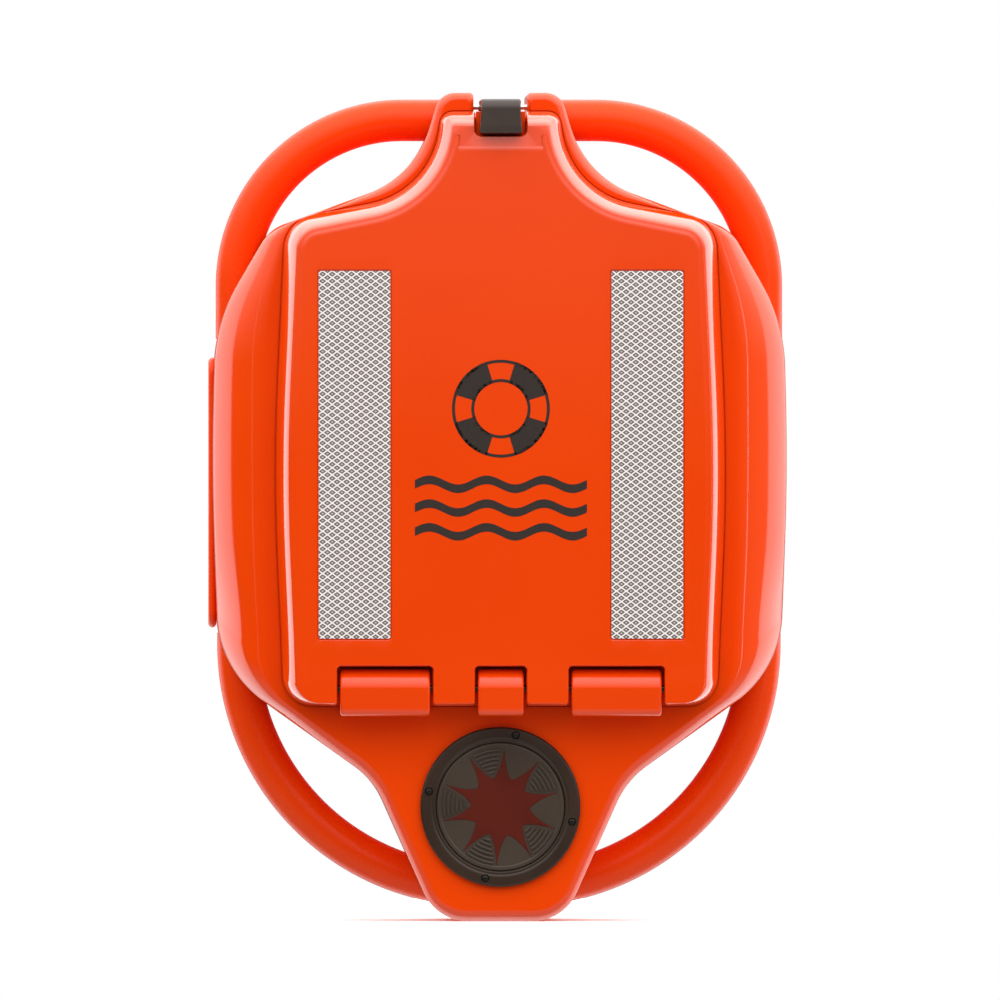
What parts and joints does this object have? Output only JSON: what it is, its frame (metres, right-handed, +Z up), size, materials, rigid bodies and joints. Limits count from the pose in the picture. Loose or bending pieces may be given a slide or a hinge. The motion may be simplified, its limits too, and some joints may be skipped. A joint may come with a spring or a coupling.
{
  "type": "emergency position beacon container",
  "caption": "Orange buoyant grab container with a hinged lid, sprung latch, round grab handles and screw-in port, holding an emergency position beacon in a foam cradle.",
  "frame": {"origin": "centre of the flat back face, at mid height", "axes": "+Z up, the lid and the front face -Y, +Y points out of the flat back, +X to the right as seen from the front"},
  "size_m": [0.3912, 0.1832, 0.5595],
  "materials": {
    "orange_shell": "glossy moulded polyethylene, bright safety orange",
    "orange_handle": "glossy moulded grab handle, slightly redder orange",
    "orange_inner": "satin moulded orange plastic",
    "black_plastic": "satin black nylon",
    "seal_rubber": "matt black rubber",
    "stainless_steel": "stainless steel",
    "port_plastic": "dark grey satin plastic with concentric grip ribs",
    "port_star": "dark red plastic",
    "reflective_tape": "silver retroreflective tape, diamond lattice",
    "buoyancy_foam": "closed-cell foam",
    "cradle_foam": "dark grey closed-cell foam",
    "yellow_plastic": "high-visibility yellow moulded plastic",
    "clear_plastic": "clear polycarbonate",
    "battery_wrap": "shrink-wrapped battery pack",
    "circuit_board": "green solder mask",
    "red_plastic": "red slide switch"
  },
  "bodies": {
    "root": {"front_shell": "orange_shell", "rear_shell": "orange_shell", "side_pad": "orange_shell", "body_knuckle_left": "orange_shell", "body_knuckle_centre": "orange_shell", "body_knuckle_right": "orange_shell", "handle_top_left": "orange_handle", "handle_top_right": "orange_handle", "handle_bottom_left": "orange_handle", "handle_bottom_right": "orange_handle", "storage_tub": "orange_inner", "beacon_antenna": "black_plastic", "port_gasket": "seal_rubber", "beacon_case_seal": "seal_rubber", "hinge_pin": "stainless_steel", "latch_pin": "stainless_steel", "latch_spring": "stainless_steel", "port_screw_1": "stainless_steel", "port_screw_2": "stainless_steel", "port_screw_3": "stainless_steel", "port_screw_4": "stainless_steel", "port_ring": "port_plastic", "buoyancy_foam_left": "buoyancy_foam", "buoyancy_foam_right": "buoyancy_foam", "beacon_cradle": "cradle_foam", "beacon_lower_case": "yellow_plastic", "beacon_upper_case": "yellow_plastic", "beacon_dome": "clear_plastic", "strobe_lamp": "clear_plastic", "battery_pack": "battery_wrap", "circuit_board": "circuit_board"},
    "lid": {"lid_skin": "orange_shell", "lid_lining": "orange_inner", "lid_gasket": "seal_rubber", "latch_pocket": "orange_inner", "lid_knuckle_inner_left": "orange_inner", "lid_knuckle_inner_right": "orange_inner", "lid_knuckle_outer_left": "orange_inner", "lid_knuckle_outer_right": "orange_inner", "reflective_strip_left": "reflective_tape", "reflective_strip_right": "reflective_tape"},
    "latch": {"latch_lever": "black_plastic"},
    "port_ring_seal": {"port_seal": "seal_rubber"},
    "port_cap": {"port_cap": "port_plastic", "port_star": "port_star"},
    "switch": {"beacon_switch": "red_plastic"},
    "button": {"beacon_test_button": "black_plastic"}
  },
  "joints": [
    {"name": "lid_hinge", "type": "hinge", "parent": "root", "child": "lid", "pos_m": [0, -0.164, -0.123], "axis": [1, 0, 0], "range_deg": [0, 95]},
    {"name": "latch_pivot", "type": "hinge", "parent": "root", "child": "latch", "pos_m": [0, -0.137, 0.2698], "axis": [-1, 0, 0], "range_deg": [0, 100], "stiffness_Nm_per_rad": 0.02, "springref_deg": -22.92},
    {"name": "cap_turn", "type": "hinge", "parent": "port_ring_seal", "child": "port_cap", "pos_m": [0, -0.15, -0.2028], "axis": [0, -1, 0], "range_deg": [0, 360]},
    {"name": "cap_lift", "type": "slide", "parent": "root", "child": "port_ring_seal", "axis": [0, -1, 0], "range_m": [0, 0.0041]},
    {"name": "switch_slide", "type": "slide", "parent": "root", "child": "switch", "axis": [0, 0, 1], "range_m": [0, 0.008]},
    {"name": "test_button_press", "type": "slide", "parent": "root", "child": "button", "axis": [0, 1, 0], "range_m": [0, 0.002], "stiffness_N_per_m": 300, "springref_m": -0.0005}
  ],
  "couplings": [
    {"joint": "cap_lift", "follows": "cap_turn", "m_per_rad": 0.00063662}
  ]
}
